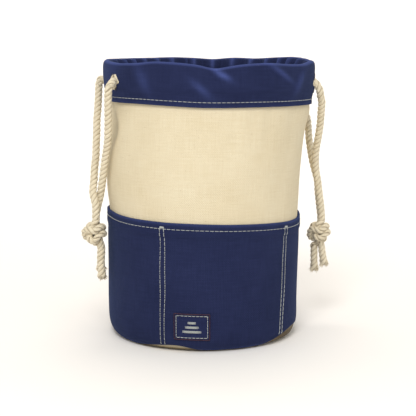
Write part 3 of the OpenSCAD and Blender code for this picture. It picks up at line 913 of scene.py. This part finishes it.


# Routes, as in the CAD source: offsets in mm from each side's elbow, from buttonhole to knot
SIDES = {
    "left": {
        "elbow": np.array([-102, 0, LEFT_LANE_Z - 1]), "lane": LEFT_LANE_Z,
        "knot": np.array([-10.3, 0.8, -146.1]),
        "signs": (1, -1), "tilt": 0.0, "stretch": (1.0, 1.0, 1.0),
        "front": [[0, -36, 0], [-2.6, -36.4, -6.6], [-3.1, -34.5, -13.2], [-2.2, -30, -24.4],
                  [-1.1, -25, -36.8], [-0.3, -20, -49.2], [0.3, -14, -61], [-0.7, -8, -75.5],
                  [-2.1, -2, -96], [-3.2, 1, -107], [-3.9, 2.6, -113], [-5.4, 3.6, -119],
                  [-7.5, 4.4, -130], [-7.5, 4.4, -133.8]],
        "back": [[0.6, 35.5, 0], [3.6, 33, -8], [2.6, 31, -17.6], [0.9, 27, -29], [-1.1, 23, -40.3],
                 [-2.4, 19, -51.5], [-3.8, 15.5, -62.7], [-5.1, 12, -74], [-7.3, 8.5, -85], [-9, 4.5, -96.3],
                 [-10.9, 1, -107], [-10.4, -1.6, -113], [-9.4, -3.2, -119], [-9.3, -3.3, -130],
                 [-9.3, -3.3, -133.8]],
        "front_tail": [[6.2, -1.8, -14], [6.5, -1.4, -18], [6.2, -0.6, -29], [6.8, -0.6, -43.4]],
        "back_tail": [[7.6, 5.8, -14], [7.7, 6.2, -18], [7.4, 6.9, -28], [7.6, 7.2, -37]]},
    "right": {
        "elbow": np.array([102.5, 0, RIGHT_LANE_Z + 1.1]), "lane": RIGHT_LANE_Z,
        "knot": np.array([16.2, -5.5, -151.5]), "signs": (-1, 1), "tilt": 0.2, "stretch": (1.1, 1.0, 0.9),
        "front": [[0, -36, 0], [1.5, -36, -6], [3.5, -34, -12], [6.2, -31, -18], [7.3, -28, -24],
                  [8.2, -25, -30], [9.4, -21, -39.5], [9.7, -17.5, -49], [9.5, -14.5, -58], [9.1, -12, -67],
                  [9.6, -10, -77], [10.7, -9, -88], [12.7, -8.7, -98], [14.5, -8.7, -110],
                  [16.4, -8.7, -122.5], [17.6, -8.9, -135], [17.6, -8.9, -139.2]],
        "back": [[0, 36, 0], [3, 35, -7], [7, 31.5, -17], [10.6, 25.5, -27.5], [12.4, 19, -38],
                 [12, 14.5, -49], [11.4, 11, -59], [11.7, 8, -68], [12.4, 5, -78], [14, 3, -87],
                 [16.4, 0.2, -99.5], [16.9, -1, -111], [18.4, -1.2, -123.5], [19.8, -1.6, -135],
                 [19.8, -1.6, -139.2]],
        "front_tail": [[2.2, -2.8, -14], [2.4, -2.8, -17], [3.4, -3.2, -24], [4.8, -3.4, -32.5]],
        "back_tail": [[-3.4, 3, -14], [-3.6, 2.8, -17], [-3.7, 2.4, -28], [-3.4, 2, -38]]}}


# An overhand knot tied in both ropes together, as seen by the camera: (right, away, up) of the pair's middle
# in mm, and the direction from one rope to the other
TO_CAMERA = np.array([[0.951, -0.309, 0], [0.309, 0.951, 0], [0, 0, 1]])
KNOT = [((0.5, 3.5, 8), (0, 1, 0)), ((-0.5, 3.5, 2), (0.3, 1, 0)), ((-3.5, 4, -4.5), (0.6, 0.8, 0)),
        ((-8, 2.5, -8.5), (0.5, 0.6, 0.6)), ((-10, -2.5, -8), (0, 0.2, 1)), ((-7, -7.5, -5.5), (-0.3, 0, 1)),
        ((-2, -9.3, -1.8), (-0.45, 0, 0.9)), ((4, -8.5, 2.4), (-0.4, 0, 0.9)), ((9, -3.6, 5), (-0.2, 0, 1)),
        ((9, 3, 5.5), (0, 0, 1)), ((4, 8.5, 4.5), (0.2, 0, 1)), ((-3, 9, 3), (0.3, 0, 1)),
        ((-7.5, 5, 2), (0.3, 0, 1)), ((-5, 1, 0), (0.5, -0.4, 0.8)), ((-1, -1.5, -3.5), (0.8, -0.5, 0.3)),
        ((1.5, -1.8, -9), (0.9, -0.4, 0))]


def tie(starts, ends, signs, tilt, stretch):
    """Centre lines of two ropes tied together, settled so that they touch and don't overlap."""
    middle = np.array([p for p, _ in KNOT], float) * stretch
    apart = unit(np.array([d for _, d in KNOT], float))
    lean_to = np.array([[math.cos(tilt), 0, -math.sin(tilt)], [0, 1, 0], [math.sin(tilt), 0, math.cos(tilt)]])
    count, half_gap, bead_r = 64, 3.4, 3.15
    ropes = []
    for start, end, sign in zip(starts, ends, signs):
        line = (middle + sign * half_gap * apart) @ lean_to.T @ TO_CAMERA
        fine = resample(curve_through(np.concatenate([[start], line, [end]]), 0.5), 0.1)[0]
        ropes.append(fine[np.linspace(0, len(fine) - 1, count).astype(int)])
    ropes = np.array(ropes)
    index = np.arange(2 * count)
    same = (index[:, None] // count == index[None] // count) & (np.abs(index[:, None] - index[None]) < 7)
    first, last = ropes[:, :2].copy(), ropes[:, -2:].copy()
    limits = np.array([9.0, 9.0, 10.8])
    for _ in range(260):
        ropes[:, 1:-1] += 0.22 * ((ropes[:, 2:] + ropes[:, :-2]) / 2 - ropes[:, 1:-1])
        beads = ropes.reshape(-1, 3)
        between = beads[:, None] - beads[None]
        distance = np.linalg.norm(between, axis=2) + 1e-6
        overlap = np.where(same, 0, np.clip(2 * bead_r - distance, 0, None))
        beads = beads + 0.35 * (between / distance[..., None] * overlap[..., None]).sum(1)
        beads[:, :2] -= 0.1 * (beads[:, :2].max(0) + beads[:, :2].min(0)) / 2
        reach = np.maximum(np.linalg.norm(beads / limits, axis=1), 1)
        beads *= (0.3 + 0.7 / reach)[:, None]
        ropes = beads.reshape(2, count, 3)
        ropes[:, :2], ropes[:, -2:] = first, last
    return ropes


def whole_rope(side):
    """One rope's centre line from its front tail's end to its back tail's end, with places on it."""
    facts = SIDES[side]
    elbow, knot = facts["elbow"], facts["elbow"] + facts["knot"]
    ends = {which: elbow + np.array(facts[which], float) for which in ("front", "back")}
    tails = {which: knot + np.array(facts[which + "_tail"], float) for which in ("front", "back")}
    tied = tie([ends[w][-1] - knot for w in ends], [tails[w][0] - knot for w in ends], facts["signs"],
               facts["tilt"], facts["stretch"])
    line, marks = [], {}
    for which, rope in zip(("front", "back"), tied):
        turn, z = HOLES[f"{side}_{which}"]
        ahead = 1 if (which == "front") == (side == "left") else -1
        slit = [cloth(turn + ahead * math.radians(d), off, z + (facts["lane"] - z) * d / 13)
                for d, off in ((13, 0.0), (7.5, 0.6), (3.2, 2.6), (0, 5.0))]
        arm = ends[which][0] * 0.5 + slit[-1] * 0.5 - np.array([0, 0, 0.5])
        parts = [tails[which][:0:-1], (knot + rope[::3])[::-1], ends[which][-2:0:-1], [arm], slit[::-1]]
        marks[which] = (knot + rope[-1], ends[which][-1], ends[which][1], slit[-1])
        line.append(np.concatenate(parts))
    first, last = (math.degrees(HOLES[f"{side}_{which}"][0]) for which in ("front", "back"))
    if side == "left":
        turns = np.arange(first + 20, last + 360 - 19, 7.0)
    else:
        turns = np.arange(first - 20, last + 19, -7.0)
    inside = cloth(np.radians(turns), 0.0, facts["lane"])
    return curve_through(np.concatenate([line[0], inside, line[1][::-1]]), 0.9), marks


def nearest(path, point, low, high):
    """Index of the point of a path, between two indices, that is nearest to a place."""
    return low + int(np.argmin(np.linalg.norm(path[low:high] - point, axis=1)))


def fibres(name, rings, body, seed):
    """Cut yarn ends that splay out of a tail's end."""
    rng = np.random.default_rng(seed)
    paths = []
    for strand in rings:
        middle = strand[-1].mean(0)
        size = np.linalg.norm(strand[-1] - middle, axis=1).mean()
        heading = unit(middle - strand[-4].mean(0))
        for _ in range(34):
            offset = rng.normal(size=3)
            offset -= heading * offset.dot(heading)
            offset *= size * math.sqrt(rng.uniform(0.05, 0.95)) / np.linalg.norm(offset)
            start = middle + offset - heading * 1.6
            bend = heading + 0.24 * offset / size + rng.normal(size=3) * 0.14 - [0, 0, 0.04]
            t = np.linspace(0, 1, 6)[:, None] * rng.uniform(2.2, 4.6)
            paths.append(start + heading * t * 0.6 + bend * t * 0.4 + bend * t ** 2 * 0.05)
    points, faces = tubes(paths, 0.27 * np.array([1, 1, 0.95, 0.85, 0.7, 0.35]), sides=5)
    places = np.stack([points[:, 0] * 1.7, points[:, 1] * 1.7, np.ones(len(points))], -1)
    return make(name, points, faces, ROPE, body, places)


def hang_rope(side):
    """One rope, cut into lengths: the tails and the knot move with the knot's end, the hanging strands and
    the stubs at the buttonholes are fixed in place, and the length inside the casing moves with the sack.
    """
    path, marks = whole_rope(side)
    count = len(path)
    half = count // 2
    cuts = {}
    for which, (tail, knot_top, stub_low, slit) in marks.items():
        window = (0, half) if which == "front" else (half, count)
        cuts[which] = [nearest(path, point, *window) for point in (tail, knot_top, stub_low, slit)]
    girth, fan, spread = np.ones(count), np.ones(count), np.zeros((count, 3))
    at = np.arange(count) * 0.9
    for which, (tail, knot_top, stub_low, slit) in cuts.items():
        low, high = sorted((tail, knot_top))
        inside = ease(at, at[low] - 3, at[low] + 5) * (1 - ease(at, at[high] - 5, at[high] + 3))
        girth *= 1 - 0.06 * inside
        fan *= 1 - 0.08 * inside
        flat = BUTTONHOLES[f"{side}_{which}"][2]
        spread[:, 2] += flat * bump(at, at[slit] + (0.8 if which == "front" else -0.8), 1.9)
    for end in (0, count - 1):
        away = np.abs(at - at[end])
        girth *= 1 + 0.07 * (1 - ease(away, 0, 6))
        fan *= 1 + 0.32 * (1 - ease(away, 0, 7))
    rings, places = laid(path, girth, fan, spread, cuts["front"][3])
    strands, knot_end = side + "_strands", side + "_knot_end"
    for which, (tail, knot_top, stub_low, slit) in cuts.items():
        front = which == "front"

        def cut(name, a, b, body, every=1):
            low, high = min(a, b), max(a, b) + 1
            return rope_piece(name, rings[:, low:high:every], places[:, low:high:every], body)

        end = 0 if front else count - 1
        tail_piece = cut(f"{side}_{which}_tail_rope", tail, end, knot_end)
        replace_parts(tail_piece, f"{side}_{which}_tail")
        order = rings[:, :tail + 1][:, ::-1] if front else rings[:, tail:]
        splay = fibres(f"{side}_{which}_tail_fibres", order, knot_end, end + len(side))
        knot = cut(f"{side}_{which}_knot_rope", tail, knot_top, knot_end)
        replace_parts(knot, side + "_knot")
        hang = cut(f"{side}_{which}_rope", knot_top, stub_low, None)
        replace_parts(hang, f"{side}_{which}_strand")
        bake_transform(hang)
        stub = cut(f"{side}_{which}_stub_rope", stub_low, slit, None)
        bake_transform(stub)
        low, high = sorted((knot_top, stub_low))
        route = path[low:high + 1]
        if front:
            route = route[::-1]
    hidden = slice(cuts["front"][3], cuts["back"][3] + 1, 2)
    middle = rope_piece(side + "_rope_inside", rings[:, hidden], places[:, hidden], "sack")
    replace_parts(middle, side + "_rope_in_casing")


# Camera, floor and light ----------------------------------------------------

CAMERA_PLACE = (-0.3380, -1.0468, 0.2928)    # metres
CAMERA_DOWN = 8.87                           # degrees


def camera():
    data = bpy.data.cameras.new("camera")
    data.lens = 97.7
    data.sensor_width = 36
    holder = bpy.data.objects.new("camera", data)
    holder.location = CAMERA_PLACE
    holder.rotation_euler = (math.radians(90 - CAMERA_DOWN), 0, -CAMERA_SWING)
    bpy.context.scene.collection.objects.link(holder)
    bpy.context.scene.camera = holder
    bpy.context.scene.view_settings.view_transform = "Standard"


def floor():
    """A pale floor that curves up into a backdrop behind the sack."""
    bend = np.linspace(0, PI / 2, 60)
    radius, start = 2.4, 0.6
    back = [-3.0, *(start + radius * np.sin(bend) ** 1.15)]
    up = [0.0, *(radius * (1 - np.cos(bend)) ** 1.15)]
    across = np.linspace(-5, 5, 9)
    forward, sideways = TO_CAMERA[1, :2], TO_CAMERA[0, :2]
    points = [[*(forward * y + sideways * x), z - 0.0004] for x in across for y, z in zip(back, up)]
    n = Nodes("floor")
    place = n.add("ShaderNodeTexCoord").outputs["Object"]
    shade = n.ramp(n.noise(place, 3.0), [(0.0, (0.90, 0.875, 0.84)), (1.0, (0.93, 0.91, 0.88))])
    faces = grid_faces(len(across), len(up), False, False)[:, ::-1]
    make("floor", np.array(points) / MM, faces, n.surface(shade, Roughness=0.9), None)


def light(name, turn, distance, height, size, power, colour, aim):
    """A round soft light at an angle (degrees) and distance from the sack, aimed at a point."""
    data = bpy.data.lights.new(name, "AREA")
    data.shape = "DISK"
    data.size = size
    data.energy = power
    data.color = colour
    holder = bpy.data.objects.new(name, data)
    place = Vector((distance * math.cos(math.radians(turn)), distance * math.sin(math.radians(turn)), height))
    holder.location = place
    holder.rotation_euler = (Vector(aim) - place).to_track_quat("-Z", "Y").to_euler()
    bpy.context.scene.collection.objects.link(holder)


def studio():
    """A bright even room, a main light from the left front, a weak fill, and a light on the backdrop."""
    world = bpy.data.worlds.new("studio")
    bpy.context.scene.world = world
    world.use_nodes = True
    background = world.node_tree.nodes["Background"]
    background.inputs["Color"].default_value = (1.0, 0.985, 0.955, 1)
    background.inputs["Strength"].default_value = 0.72
    light("key", 243, 1.35, 1.35, 0.7, 16, (1.0, 0.985, 0.965), (0, 0, 0.12))
    light("fill", 285, 1.5, 0.9, 1.0, 2.2, (0.97, 0.985, 1.0), (0, 0, 0.12))
    light("backdrop", 72, 1.0, 1.9, 1.8, 22, (1.0, 0.93, 0.86), (0.72, 2.2, 0.4))


# The whole scene ------------------------------------------------------------

camera()
floor()
studio()
for side in SIDES:
    hang_rope(side)
sack()
